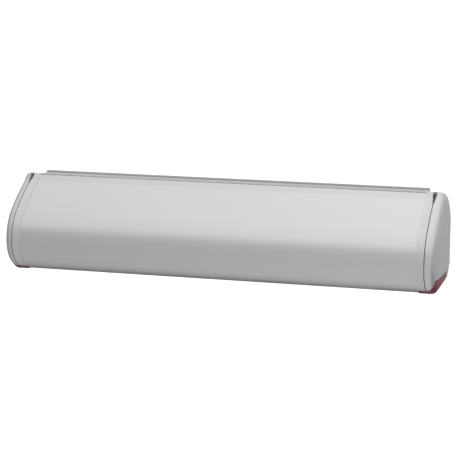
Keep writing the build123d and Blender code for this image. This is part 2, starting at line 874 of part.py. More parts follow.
# Bands: moulded end caps of the lead bar
band_out = half_body + band_width
with BuildPart() as band:
    outer_arcs = front_arcs(-band_proud, shoulder_foot_y, band_bottom)
    inner_arcs = upper_arcs(band_depth, crown_y)
    with BuildSketch(Plane.YZ.offset(half_body)):
        with BuildLine() as outline:
            for arc in outer_arcs + inner_arcs:
                ThreePointArc(*arc)
            Line(outer_arcs[0][0], shoulder)
            ThreePointArc(shoulder, crown_middle, crown)
            Line(crown, inner_arcs[0][0])
            Polyline(
                inner_arcs[1][2],
                (inner_arcs[1][2][0], shelf_top),
                (flange_y, shelf_top),
                (flange_y, band_bottom),
                outer_arcs[3][2],
            )
        make_face(outline.edges())
    extrude(amount=band_width)
    with BuildSketch(Plane.YZ.offset(half_body)):
        front_band(
            band_wall,
            band_depth - band_wall,
            crown_y - 2 * band_wall,
            band_bottom + band_wall,
        )
        strip(
            bulge_y + 2 * band_depth,
            flange_y - band_wall,
            band_bottom + band_wall,
            shelf_top - band_wall,
        )
        with Locations(*bar_ports):
            Circle(port_radius + port_room, mode=Mode.SUBTRACT)
    extrude(amount=band_width - band_wall, mode=Mode.SUBTRACT)
    with BuildSketch(Plane.YZ.offset(half_body)):
        with Locations(*bar_ports):
            Circle(screw_radius + screw_gap)
    extrude(amount=band_width, mode=Mode.SUBTRACT)
    with BuildSketch(Plane.YZ.offset(band_out)):
        with Locations(*bar_ports):
            Circle(head_radius(screw_radius) + seam_gap)
    extrude(amount=-head_height - seam_gap, mode=Mode.SUBTRACT)
    with BuildSketch(Plane.XZ.offset(-notch_back)):
        polygon(
            (band_out + overcut, crown_z + overcut),
            (band_out - notch_depth, crown_z + overcut),
            (band_out - notch_depth, notch_low + notch_taper),
            (band_out, notch_low - notch_taper),
            (band_out + overcut, notch_low - notch_taper),
        )
    extrude(amount=notch_reach, mode=Mode.SUBTRACT)
write_pair("lead_bar_band", band.part)

with BuildPart() as band_screws:
    for side in (-1, 1):
        for centre in bar_ports:
            tip = side * (half_body - screw_reach)
            screw(side * (band_out - seam_gap), tip, centre, screw_radius)
write_piece("band_screws", band_screws.part)

# Legs: two lanes side by side in the channel of the lead bar
rear_lane = flange_y - web - cheek - working_gap - leg_width / 2
front_lane = rear_lane - leg_width - lane_gap
leg_pivot_x = -half_body + leg_pivot_end_gap
toe_x = half_body - toe_clearance
foot_x = toe_x - foot_toe
collar_end = foot_x - inner_stick_out
collar_start = collar_end - collar_length
tube_start = leg_pivot_x + head_length
inner_width = leg_width - 2 * leg_wall - 2 * leg_slide_gap
inner_height = leg_height - 2 * leg_wall - 2 * leg_slide_gap
inner_start = tube_start + head_plug + inner_back_gap
cam_x = collar_end - cam_inset
cam_z = leg_pivot_z - leg_height / 2 - cam_drop
cam_width = leg_width - 2 * ear - 2 * seam_gap
foot_top = leg_pivot_z - foot_drop


def side_sketch(lane, width):
    """Plane of one leg's front side, for outlines in X and Z extruded backwards."""
    return Plane.XZ.offset(-lane + width / 2)


def tube_between(start, end, centre, outer, wall, corner=1.0):
    """Rectangular tube along X with rounded corners, in the part that is open."""
    for size, radius, mode in (
        (outer, corner, Mode.ADD),
        ((outer[0] - 2 * wall, outer[1] - 2 * wall), corner / 2, Mode.SUBTRACT),
    ):
        with BuildSketch(Plane.YZ.offset(start)) as section:
            with Locations(centre):
                RectangleRounded(size[0], size[1], radius)
        extrude(section.sketch, amount=end - start, mode=mode)


def make_leg(lane, side):
    """One leg in its lane, made as the left one and mirrored for the right side."""
    centre = (lane, leg_pivot_z)
    outer = (leg_width, leg_height)
    inner = (inner_width, inner_height)

    with BuildPart() as head:
        with BuildSketch(side_sketch(lane, leg_width)):
            with Locations((leg_pivot_x, leg_pivot_z)):
                Circle(leg_height / 2)
            with Locations((leg_pivot_x + head_length / 2, leg_pivot_z)):
                Rectangle(head_length, leg_height)
        extrude(amount=-leg_width)
        with BuildSketch(Plane.YZ.offset(tube_start)):
            with Locations(centre):
                RectangleRounded(
                    inner_width + leg_slide_gap, inner_height + leg_slide_gap, inner_corner
                )
        extrude(amount=head_plug)
        with BuildSketch(side_sketch(lane, leg_width)):
            with Locations((leg_pivot_x, leg_pivot_z)):
                Circle(leg_pin_radius + shaft_gap)
        extrude(amount=-leg_width, mode=Mode.SUBTRACT)

    with BuildPart() as outer_tube:
        tube_between(tube_start, collar_start, centre, outer, leg_wall)

    with BuildPart() as collar:
        tube_between(collar_start, collar_end, centre, outer, leg_wall)
        with BuildSketch(side_sketch(lane, leg_width)):
            with Locations((cam_x, cam_z)):
                Circle(cam_drop)
            with Locations((cam_x, cam_z + cam_drop / 2)):
                Rectangle(2 * cam_drop, cam_drop)
        extrude(amount=-leg_width)
        with BuildSketch(side_sketch(lane, leg_width - 2 * ear)):
            with Locations((cam_x, cam_z)):
                Rectangle(4 * cam_drop, 2 * cam_drop)
        extrude(amount=-leg_width + 2 * ear, mode=Mode.SUBTRACT)
        with BuildSketch(side_sketch(lane, leg_width)):
            with Locations((cam_x, cam_z)):
                Circle(cam_pin_radius)
        extrude(amount=-leg_width, mode=Mode.SUBTRACT)

    with BuildPart() as clamp:
        with BuildSketch(side_sketch(lane, cam_width)):
            with Locations((cam_x, cam_z)):
                Circle(cam_drop - seam_gap)
            with BuildLine() as outline:
                Polyline(
                    (cam_x, cam_z + cam_drop - seam_gap),
                    (cam_x - cam_length, cam_z + cam_drop - cam_taper),
                    (cam_x - cam_length, cam_z - cam_drop + cam_taper),
                    (cam_x, cam_z - cam_drop + seam_gap),
                    close=True,
                )
            make_face(outline.edges())
            with Locations((cam_x, cam_z)):
                Circle(cam_pin_radius + shaft_gap, mode=Mode.SUBTRACT)
        extrude(amount=-cam_width)

    with BuildPart() as clamp_pin:
        with BuildSketch(side_sketch(lane, leg_width)):
            with Locations((cam_x, cam_z)):
                Circle(cam_pin_radius)
        extrude(amount=-leg_width)

    with BuildPart() as inner_tube:
        tube_between(inner_start, foot_x - tip_body, centre, inner, inner_wall, inner_corner)

    with BuildPart() as tip:
        with BuildSketch(side_sketch(lane, inner_width)):
            with Locations((foot_x - tip_body / 2, leg_pivot_z)):
                Rectangle(tip_body, inner_height)
        extrude(amount=-inner_width)
        with BuildSketch(side_sketch(lane, tongue_width)):
            with Locations((foot_x, leg_pivot_z)):
                Circle(tongue_radius)
            with Locations((foot_x - tongue_radius / 2, leg_pivot_z)):
                Rectangle(tongue_radius, 2 * tongue_radius)
        extrude(amount=-tongue_width)
        with BuildSketch(Plane.YZ.offset(foot_x - tip_body)):
            with Locations(centre):
                Rectangle(
                    inner_width - 2 * inner_wall - leg_slide_gap,
                    inner_height - 2 * inner_wall - leg_slide_gap,
                )
        extrude(amount=-tip_plug)
        with BuildSketch(side_sketch(lane, leg_width)):
            with Locations((foot_x, leg_pivot_z)):
                Circle(trunnion_radius)
        extrude(amount=-leg_width)

    with BuildPart() as foot:
        with BuildSketch(Plane.XY.offset(foot_top)):
            with Locations((foot_x + (foot_toe - foot_heel) / 2, lane)):
                RectangleRounded(foot_toe + foot_heel, leg_width, foot_corner)
        extrude(amount=-foot_thickness)
        with BuildSketch(side_sketch(lane, leg_width)):
            with Locations((foot_x, leg_pivot_z)):
                Circle(tongue_radius)
            with Locations((foot_x, (leg_pivot_z + foot_top) / 2)):
                Rectangle(2 * tongue_radius, foot_drop)
        extrude(amount=-leg_width)
        with BuildSketch(side_sketch(lane, leg_width - 2 * ear)):
            with Locations((foot_x, leg_pivot_z)):
                Rectangle(4 * tongue_radius, 2 * foot_drop - 2 * seam_gap)
        extrude(amount=-leg_width + 2 * ear, mode=Mode.SUBTRACT)
        with BuildSketch(side_sketch(lane, leg_width)):
            with Locations((foot_x, leg_pivot_z)):
                Circle(trunnion_radius + shaft_gap)
        extrude(amount=-leg_width, mode=Mode.SUBTRACT)
        with BuildSketch(Plane.XY.offset(foot_top)):
            with Locations((foot_x - foot_heel + peg_inset, lane)):
                Circle(peg_radius)
        extrude(amount=-foot_thickness, mode=Mode.SUBTRACT)

    with BuildPart() as bracket:
        with BuildSketch(Plane.XY.offset(shelf_top - web)):
            with Locations((leg_pivot_x + bracket_shift, lane)):
                Rectangle(bracket_length, leg_width + 2 * cheek + 2 * seam_gap)
        extrude(amount=-bracket_base)
        with BuildSketch(side_sketch(lane, leg_width + 2 * cheek + 2 * seam_gap)):
            with Locations((leg_pivot_x + bracket_shift, (shelf_top - web + leg_pivot_z) / 2)):
                Rectangle(bracket_length, shelf_top - web - leg_pivot_z)
            with Locations((leg_pivot_x + bracket_shift, leg_pivot_z)):
                SlotOverall(bracket_length, 2 * cheek_drop)
        extrude(amount=-leg_width - 2 * cheek - 2 * seam_gap)
        with BuildSketch(side_sketch(lane, leg_width + 2 * seam_gap)):
            with Locations((leg_pivot_x + bracket_shift, leg_pivot_z)):
                Rectangle(
                    2 * bracket_length, 2 * (shelf_top - web - bracket_base - leg_pivot_z)
                )
        extrude(amount=-leg_width - 2 * seam_gap, mode=Mode.SUBTRACT)
        with BuildSketch(side_sketch(lane, leg_width + 2 * cheek + 2 * seam_gap)):
            with Locations((leg_pivot_x, leg_pivot_z)):
                Circle(leg_pin_radius)
        extrude(amount=-leg_width - 2 * cheek - 2 * seam_gap, mode=Mode.SUBTRACT)

    with BuildPart() as pivot_pin:
        with BuildSketch(side_sketch(lane, leg_width + 2 * cheek + 2 * seam_gap)):
            with Locations((leg_pivot_x, leg_pivot_z)):
                Circle(leg_pin_radius)
        extrude(amount=-leg_width - 2 * cheek - 2 * seam_gap)

    pieces = {
        "leg_head": head,
        "leg_tube": outer_tube,
        "leg_collar": collar,
        "leg_clamp": clamp,
        "leg_clamp_pin": clamp_pin,
        "leg_inner_tube": inner_tube,
        "leg_tip": tip,
        "leg_foot": foot,
        "leg_bracket": bracket,
        "leg_pivot_pin": pivot_pin,
    }
    for stem, piece in pieces.items():
        solid = piece.part if side == "left" else mirror(piece.part, about=Plane.YZ)
        write_piece(f"{stem}_{side}", solid)


make_leg(front_lane, "left")
make_leg(rear_lane, "right")

# Tension rafters stored in clips on the back of the case
rafter_start = half_body - rafter_end_gap
for level, z in (("upper", rafter_upper_z), ("lower", rafter_lower_z)):
    outer = (rafter_width, rafter_height)
    slack = 2 * (rafter_wall + rafter_slide_gap)
    inner = (rafter_width - slack, rafter_height - slack)
    with BuildPart() as rafter_tube:
        tube_between(
            -rafter_start + hook_length, rafter_split, (rafter_y, z), outer, rafter_wall
        )
    write_piece(f"rafter_tube_{level}", rafter_tube.part)
    with BuildPart() as rafter_inner:
        tube_between(
            -rafter_split,
            rafter_start - hook_length,
            (rafter_y, z),
            inner,
            inner_wall,
            inner_corner,
        )
    write_piece(f"rafter_inner_{level}", rafter_inner.part)
    with BuildPart() as rafter_hooks:
        for end in (-1, 1):
            size = outer if end < 0 else inner
            wall = rafter_wall if end < 0 else inner_wall
            fit = 2 * (wall + groove_gap)
            seat = end * (rafter_start - hook_length)
            with BuildSketch(Plane.YZ.offset(seat)):
                with Locations((rafter_y, z)):
                    RectangleRounded(size[0], size[1], inner_corner)
            extrude(amount=end * hook_block)
            with BuildSketch(Plane.YZ.offset(seat)):
                with Locations((rafter_y, z)):
                    RectangleRounded(size[0] - fit, size[1] - fit, inner_corner)
            extrude(amount=-end * hook_plug)
            with BuildSketch(Plane.YZ.offset(seat + end * hook_block)):
                with Locations((rafter_y, z)):
                    Circle(hook_shank)
            extrude(amount=end * (hook_length - hook_block - hook_knob_length))
            with BuildSketch(Plane.YZ.offset(end * rafter_start)):
                with Locations((rafter_y, z)):
                    Circle(hook_knob)
            extrude(amount=-end * hook_knob_length)
    write_piece(f"rafter_ends_{level}", rafter_hooks.part)

clip_low = rafter_lower_z - rafter_height / 2 - seam_gap
clip_high = rafter_upper_z + rafter_height / 2 + seam_gap
clip_front = rafter_y - rafter_width / 2 - clip_lip
clip_middle = (rafter_lower_z + rafter_upper_z) / 2
with BuildPart() as rafter_clips:
    for x in (-clip_spacing, 0, clip_spacing):
        with BuildSketch(Plane.YZ.offset(x - clip_length / 2)):
            strip(clip_front, -back_wall, clip_low - clip_wall, clip_high + clip_wall)
            strip(
                clip_front - overcut,
                rafter_y + rafter_width / 2 + seam_gap,
                clip_low,
                clip_high,
                mode=Mode.SUBTRACT,
            )
            strip(
                clip_front,
                rafter_y + rafter_width / 2 + seam_gap,
                clip_middle - clip_wall / 2,
                clip_middle + clip_wall / 2,
            )
            with Locations(case_ports[0]):
                Circle(port_radius + screw_gap, mode=Mode.SUBTRACT)
        extrude(amount=clip_length)
write_piece("rafter_clips", rafter_clips.part)
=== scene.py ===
"""Closed roll-out cassette awning, dressed for a soft studio picture."""

import json
import logging
from dataclasses import dataclass
from enum import Enum
from math import acos, asin, atan2, cos, pi, radians, sin
from typing import Any, ClassVar, Iterable

import bmesh
import bpy
import numpy as np
from mathutils import Matrix, Vector

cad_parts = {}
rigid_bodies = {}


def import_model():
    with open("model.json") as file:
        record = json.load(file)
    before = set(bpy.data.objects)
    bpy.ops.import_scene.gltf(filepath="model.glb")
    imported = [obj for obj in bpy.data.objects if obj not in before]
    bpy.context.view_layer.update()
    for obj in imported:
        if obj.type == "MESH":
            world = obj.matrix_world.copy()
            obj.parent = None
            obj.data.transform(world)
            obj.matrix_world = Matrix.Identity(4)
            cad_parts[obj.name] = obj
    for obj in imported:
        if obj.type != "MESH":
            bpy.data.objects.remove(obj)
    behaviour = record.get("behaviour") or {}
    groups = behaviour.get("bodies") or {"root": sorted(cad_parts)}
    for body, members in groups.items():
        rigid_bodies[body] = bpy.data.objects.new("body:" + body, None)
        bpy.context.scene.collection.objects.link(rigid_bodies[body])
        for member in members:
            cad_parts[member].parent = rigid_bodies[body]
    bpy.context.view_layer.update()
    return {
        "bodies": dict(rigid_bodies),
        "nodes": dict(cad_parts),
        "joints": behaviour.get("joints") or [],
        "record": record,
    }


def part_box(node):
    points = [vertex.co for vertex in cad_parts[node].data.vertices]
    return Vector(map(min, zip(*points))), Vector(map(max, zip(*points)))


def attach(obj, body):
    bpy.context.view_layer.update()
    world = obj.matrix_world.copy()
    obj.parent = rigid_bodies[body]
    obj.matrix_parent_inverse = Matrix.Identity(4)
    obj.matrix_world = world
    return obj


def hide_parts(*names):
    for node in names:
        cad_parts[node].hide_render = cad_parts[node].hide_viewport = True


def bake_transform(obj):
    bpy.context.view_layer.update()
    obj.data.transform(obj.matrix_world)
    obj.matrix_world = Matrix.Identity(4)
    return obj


logging.basicConfig(level=logging.INFO, format="%(message)s")
log = logging.getLogger("awning")

MM = 0.001
SIDES = ("left", "right")
LEVELS = ("upper", "lower")
Colour = tuple[float, float, float]
Stops = tuple[tuple[float, float], ...]


class Socket:
    """A shader value that grows its node tree when it is used in an expression."""

    def __init__(self, tree: bpy.types.NodeTree, link: bpy.types.NodeSocket) -> None:
        """Keep the tree and the output socket.

        Args:
            tree: Node tree that the value lives in.
            link: Output socket that carries the value.
        """
        self.tree = tree
        self.link = link

    def _math(self, operation: str, *values: "Socket | float") -> "Socket":
        """Add one Math node.

        Args:
            operation: Name of the operation.
            values: Its values in order.

        Returns:
            The result.
        """
        node = self.tree.nodes.new("ShaderNodeMath")
        node.operation = operation
        for slot, value in zip(node.inputs, values):
            plug(slot, value)
        return Socket(self.tree, node.outputs[0])

    def __add__(self, other: "Socket | float") -> "Socket":
        """Sum."""
        return self._math("ADD", self, other)

    def __radd__(self, other: "Socket | float") -> "Socket":
        """Sum with the number first."""
        return self._math("ADD", other, self)

    def __sub__(self, other: "Socket | float") -> "Socket":
        """Difference."""
        return self._math("SUBTRACT", self, other)

    def __rsub__(self, other: "Socket | float") -> "Socket":
        """Difference with the number first."""
        return self._math("SUBTRACT", other, self)

    def __mul__(self, other: "Socket | float") -> "Socket":
        """Product."""
        return self._math("MULTIPLY", self, other)

    def __rmul__(self, other: "Socket | float") -> "Socket":
        """Product with the number first."""
        return self._math("MULTIPLY", other, self)

    def sine(self) -> "Socket":
        """Sine of the value."""
        return self._math("SINE", self)

    def angle(self, ahead: "Socket") -> "Socket":
        """Angle of the point whose height is this value and whose distance ahead is the other."""
        return self._math("ARCTAN2", self, ahead)


def plug(slot: bpy.types.NodeSocket, value: Any) -> None:
    """Link a value to an input, or set the input's own value.

    Args:
        slot: Input socket.
        value: Shader value, number, colour or vector.
    """
    if isinstance(value, Socket):
        value.tree.links.new(value.link, slot)
    else:
        slot.default_value = value


def total(values: Iterable[Socket], shares: Iterable[float]) -> Socket:
    """Sum of values, each by its share; a value without a share stays out."""
    terms = [value * share for value, share in zip(values, shares) if share]
    return sum(terms[1:], terms[0])


class Nodes:
    """A node tree and the way in which all nodes but those of an expression are added to it."""

    def __init__(self, tree: bpy.types.NodeTree) -> None:
        """Keep the tree."""
        self.tree = tree

    def node(
        self, kind: str, output: str = "", settings: dict[str, Any] | None = None, **inputs: Any
    ) -> Socket:
        """Add a node and return one of its outputs.

        Args:
            kind: Node type without its ShaderNode prefix.
            output: Identifier of the output to return, or nothing for the first.
            settings: Attributes of the node, or the stops of its ramp, set first.
            inputs: Identifiers of sockets, with underscores for spaces, and their values.

        Returns:
            The chosen output.
        """
        node = self.tree.nodes.new("ShaderNode" + kind)
        for name, value in (settings or {}).items():
            if name == "stops":
                self.set_stops(node.color_ramp, value)
            else:
                setattr(node, name, value)
        slots = {slot.identifier.replace(" ", "_"): slot for slot in node.inputs}
        for name, value in inputs.items():
            plug(slots[name], value)
        outputs = {slot.identifier: slot for slot in node.outputs}
        return Socket(self.tree, outputs[output] if output else node.outputs[0])

    @staticmethod
    def set_stops(ramp: bpy.types.ColorRamp, stops: Stops) -> None:
        """Set a ramp's stops.

        Args:
            ramp: Fresh ramp.
            stops: Places from 0 to 1 and their grey levels, in rising order.
        """
        while len(ramp.elements) < len(stops):
            ramp.elements.new(1.0)
        for index, (place, level) in enumerate(stops):
            ramp.elements[index].position = place
            ramp.elements[index].color = (level, level, level, 1)

    def coordinates(self, vector: Socket) -> list[Socket]:
        """The three coordinates of a vector."""
        first = self.node("SeparateXYZ", Vector=vector)
        return [Socket(self.tree, output) for output in first.link.node.outputs]

    def place(self) -> Socket:
        """Object coordinates in metres."""
        return self.node("TexCoord", "Object")

    def stretched(self, scale: tuple[float, float, float]) -> Socket:
        """Object coordinates stretched by a factor along each axis."""
        return self.node("Mapping", Vector=self.place(), Scale=scale)

    def band(self, value: Socket, low: float, high: float) -> Socket:
        """Value mapped from a low and high limit to 0 and 1."""
        return self.node("MapRange", Value=value, From_Min=low, From_Max=high)

    def blend(self, share: Socket, first: Colour, second: Colour) -> Socket:
        """Colour between two colours.

        Args:
            share: Share of the second colour.
            first: Colour at a share of 0.
            second: Colour at a share of 1.

        Returns:
            The colour.
        """
        ends = {"A_Color": (*first, 1), "B_Color": (*second, 1)}
        return self.node("Mix", "Result_Color", {"data_type": "RGBA"}, Factor_Float=share, **ends)

    def ramp(self, value: Socket, low: float, high: float, stops: Stops) -> Socket:
        """Grey level that follows a value through some stops.

        Args:
            value: Value to follow.
            low: Value at the ramp's left end.
            high: Value at the ramp's right end.
            stops: Values and their levels, in rising order.

        Returns:
            The level.
        """
        share = (value - low) * (1 / (high - low))
        places = tuple(((spot - low) / (high - low), level) for spot, level in stops)
        return self.node("ValToRGB", settings={"stops": places}, Fac=share)


class Shader(Nodes):
    """One material with its Principled shader and the means to feed it."""

    def __init__(self, name: str) -> None:
        """Make the material.

        Args:
            name: Name of the material.
        """
        self.material = bpy.data.materials.new(name)
        self.material.use_nodes = True
        super().__init__(self.material.node_tree)
        self.surface = self.tree.nodes["Principled BSDF"]

    def feed(self, name: str, value: Any) -> None:
        """Set or link one socket of the shader."""
        plug(self.surface.inputs[name], value)

    def bump(self, height: Socket, strength: float, distance: float) -> None:
        """Send a height to the shader's normal.

        Args:
            height: Height value.
            strength: Strength of the bump.
            distance: Depth in metres.
        """
        node = self.node("Bump", Height=height, Strength=strength, Distance=distance)
        self.feed("Normal", node)


@dataclass(frozen=True, kw_only=True)
class Layer:
    """One pattern of a finish.

    Attributes:
        tone: Share in the blend from the darker to the lighter tone.
        rough: Share in the roughness.
        relief: Share in the height of the surface.
    """

    tone: float = 0.0
    rough: float = 0.0
    relief: float = 0.0

    def value(self, shader: Shader) -> Socket:
        """Value of the pattern, which each kind of layer gives."""
        raise NotImplementedError


@dataclass(frozen=True)
class Noise(Layer):
    """Noise on the piece's own place.

    Attributes:
        waves: Waves per metre, or one number for each axis where the pattern is drawn out.
        octaves: Octaves of detail.
        band: Limits that are spread to 0 and 1, or None for the noise as it is.
    """

    waves: float | tuple[float, float, float]
    octaves: float
    band: tuple[float, float] | None = None

    def value(self, shader: Shader) -> Socket:
        """Noise of the layer.

        Args:
            shader: Shader that it is added to.

        Returns:
            The noise value.
        """
        drawn_out = isinstance(self.waves, tuple)
        where = shader.stretched(self.waves) if drawn_out else shader.place()
        scale = 1.0 if drawn_out else self.waves
        noise = shader.node("TexNoise", Vector=where, Scale=scale, Detail=self.octaves)
        return shader.band(noise, *self.band) if self.band else noise


@dataclass(frozen=True)
class Wear(Layer):
    """Rubbed edges, from the curvature of the surface.

    Attributes:
        band: Curvature at which the wear starts, and at which it is full.
    """

    band: tuple[float, float] = (0.52, 0.60)

    def value(self, shader: Shader) -> Socket:
        """Share of rubbed edge."""
        return shader.band(shader.node("NewGeometry", "Pointiness"), *self.band)


@dataclass(frozen=True)
class Weave(Layer):
    """Warp and weft, on the sheet's own UV map in metres.

    Attributes:
        thread: Width of a thread.
    """

    thread: float

    def value(self, shader: Shader) -> Socket:
        """Height of the threads.

        Args:
            shader: Shader that it is added to.

        Returns:
            The height, from -1 to 1.
        """
        across, along, _ = shader.coordinates(shader.node("TexCoord", "UV"))
        count = pi / self.thread
        return (across * count).sine() * (along * count).sine()


def shade(colour: Colour, factor: float) -> Colour:
    """Colour made darker or lighter by one factor."""
    return tuple(min(1.0, part * factor) for part in colour)


@dataclass(frozen=True)
class Surface:
    """What all finishes share: a colour in two tones, and layers of pattern.

    Attributes:
        name: Name of the material.
        colour: Colour of the piece.
        roughness: Mean roughness.
        metallic: Share of bare metal.
        strength: Strength of the relief.
        depth: Depth of the relief in metres.
        shades: Factors of the darker and the lighter tone.
        added: What the layers add to the roughness on average.
    """

    name: str
    colour: Colour
    roughness: float
    metallic: float = 0.0
    strength: float = 0.10
    depth: float = 0.1 * MM
    shades: tuple[float, float] = (1.0, 1.0)
    added: float = 0.0

    def layers(self) -> list[Layer]:
        """Patterns of the surface, which each finish gives."""
        raise NotImplementedError

    def tones(self) -> tuple[Colour, Colour]:
        """Darker and lighter tone."""
        dark, light = self.shades
        return shade(self.colour, dark), shade(self.colour, light)

    def material(self) -> bpy.types.Material:
        """Build the material.

        Returns:
            The material.
        """
        shader = Shader(self.name)
        layers = self.layers()
        values = [layer.value(shader) for layer in layers]
        tone = total(values, [layer.tone for layer in layers])
        rough = total(values, [layer.rough for layer in layers])
        height = total(values, [layer.relief for layer in layers])
        shader.feed("Base Color", shader.blend(tone, *self.tones()))
        shader.feed("Metallic", self.metallic)
        shader.feed("Roughness", rough + (self.roughness - self.added))
        shader.bump(height, self.strength, self.depth)
        return shader.material


@dataclass(frozen=True)
class CoatedMetal(Surface):
    """Satin powder coat or anodising on an extrusion, with faint drawing lines.

    Attributes:
        lines: How strongly the drawing lines show.
        line_tone: Their share in the tone, for one part of that strength.
    """

    strength: float = 0.03
    shades: tuple[float, float] = (0.975, 1.025)
    added: float = 0.07
    lines: float = 0.03
    line_tone: float = 6.0

    def layers(self) -> list[Layer]:
        """Patterns of the coat.

        Returns:
            Clouds, drawing lines, grain and dust.
        """
        tone = self.lines * self.line_tone
        return [
            Noise(9.0, 3.0, tone=0.6, rough=0.08),
            Noise((2.5, 900.0, 900.0), 4.0, tone=tone, rough=self.lines, relief=0.7),
            Noise(2600.0, 2.0, relief=0.3),
            Noise(38.0, 3.0, band=(0.52, 0.80), tone=0.25, rough=0.06),
        ]


@dataclass(frozen=True)
class Moulding(Surface):
    """Injection-moulded plastic with an eroded grain and slightly rubbed edges.

    Attributes:
        grain: Pits of the grain per metre.
    """

    depth: float = 0.2 * MM
    shades: tuple[float, float] = (0.96, 1.06)
    added: float = 0.08
    grain: float = 1500.0

    def layers(self) -> list[Layer]:
        """Patterns of the plastic.

        Returns:
            Clouds, pits and rubbed edges.
        """
        return [
            Noise(14.0, 4.0, tone=0.7, rough=0.10),
            Noise(self.grain, 2.0, rough=0.06, relief=1.0),
            Wear(tone=0.5),
        ]


@dataclass(frozen=True)
class BareMetal(Surface):
    """Bare steel or zinc with directional scratches and stains.

    Attributes:
        scratches: Scratches per metre along each axis.
    """

    metallic: float = 1.0
    strength: float = 0.08
    shades: tuple[float, float] = (0.82, 1.08)
    added: float = 0.15
    scratches: tuple[float, float, float] = (4.0, 700.0, 700.0)

    def layers(self) -> list[Layer]:
        """Patterns of the metal.

        Returns:
            Scratches and stains.
        """
        return [
            Noise(self.scratches, 5.0, rough=0.16, relief=1.0),
            Noise(45.0, 5.0, tone=1.0, rough=0.14),
        ]


@dataclass(frozen=True)
class Rubber(Surface):
    """Black extruded rubber with a chalky bloom.

    Attributes:
        bloom: Colour of the bloom.
    """

    bloom: Colour = (0.12, 0.12, 0.12)

    def tones(self) -> tuple[Colour, Colour]:
        """Clean rubber and its bloom."""
        return self.colour, self.bloom

    def layers(self) -> list[Layer]:
        """Patterns of the rubber.

        Returns:
            Bloom and drag lines.
        """
        return [
            Noise(60.0, 5.0, band=(0.45, 0.75), tone=0.6, rough=0.15),
            Noise((6.0, 1400.0, 1400.0), 3.0, rough=0.08, relief=1.0),
        ]


@dataclass(frozen=True)
class Cloth(Surface):
    """Coated woven canopy cloth.

    Attributes:
        thread: Width of a thread.
    """

    strength: float = 0.35
    depth: float = 0.2 * MM
    shades: tuple[float, float] = (0.88, 1.0)
    thread: float = 0.6 * MM

    def layers(self) -> list[Layer]:
        """Patterns of the cloth.

        Returns:
            Weave and fading.
        """
        return [
            Weave(self.thread, tone=0.2, rough=0.04, relief=1.0),
            Noise(6.0, 3.0, tone=0.6, rough=0.12),
        ]


class Finish(Enum):
    """Finishes of the awning's pieces."""

    PANEL = CoatedMetal("panel_coat", (0.637, 0.637, 0.637), 0.31, metallic=0.70)
    # The case's grey is set darker than the panel's: painted shade, standing in for the shade on the
    # case's top behind the panel's upper edge.
    CASE = CoatedMetal("case_coat", (0.50, 0.50, 0.50), 0.42, metallic=0.35)
    CAP = CoatedMetal("cap_paint", (0.637, 0.637, 0.637), 0.38, metallic=0.45, lines=0.0)
    PLATE = Moulding("plate_moulding", (0.20, 0.205, 0.21), 0.52)
    LEVER = Moulding("lever_moulding", (0.25, 0.035, 0.05), 0.40, grain=1800.0, strength=0.05)
    FITTING = Moulding("black_nylon", (0.035, 0.035, 0.038), 0.46)
    LEG = CoatedMetal("leg_anodised", (0.70, 0.71, 0.72), 0.34, metallic=0.9, lines=0.06)
    STEEL = BareMetal("zinc_steel", (0.56, 0.57, 0.58), 0.40)
    SPRING = BareMetal("spring_steel", (0.20, 0.19, 0.18), 0.42)
    FIXING = BareMetal("stainless_fixings", (0.58, 0.57, 0.56), 0.30, scratches=(300.0, 300.0, 300.0))
    SEAL = Rubber("black_seal", (0.02, 0.02, 0.02), 0.55)
    CLOTH = Cloth("canopy_cloth", (0.36, 0.38, 0.40), 0.62)


@dataclass
class Wardrobe:
    """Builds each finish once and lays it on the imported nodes.

    Attributes:
        frame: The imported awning.
    """

    frame: dict[str, Any]

    def __post_init__(self) -> None:
        """Make every material."""
        self.materials = {finish: finish.value.material() for finish in Finish}

    def node(self, name: str) -> bpy.types.Object:
        """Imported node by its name."""
        return self.frame["nodes"][name]

    def dress(self, nodes: Iterable[str], finish: Finish) -> None:
        """Give nodes a finish.

        Args:
            nodes: Names of the nodes.
            finish: Finish to lay on.
        """
        for name in nodes:
            mesh = self.node(name).data
            if not mesh.materials:
                mesh.materials.append(None)
            for index in range(len(mesh.materials)):
                mesh.materials[index] = self.materials[finish]


def each(ends: Iterable[str], *stems: str) -> list[str]:
    """Names of nodes, made of every stem with every end."""
    return [f"{stem}_{end}" for stem in stems for end in ends]


def piece_from(name: str, form: bmesh.types.BMesh, material: bpy.types.Material) -> bpy.types.Object:
    """Turn a bmesh into an object at the origin.

    Args:
        name: Name of the piece.
        form: Finished bmesh, freed here.
        material: Material of the piece.

    Returns:
        The new object.
    """
    mesh = bpy.data.meshes.new(name)
    form.to_mesh(mesh)
    form.free()
    mesh.materials.append(material)
    piece = bpy.data.objects.new(name, mesh)
    bpy.context.scene.collection.objects.link(piece)
    return piece


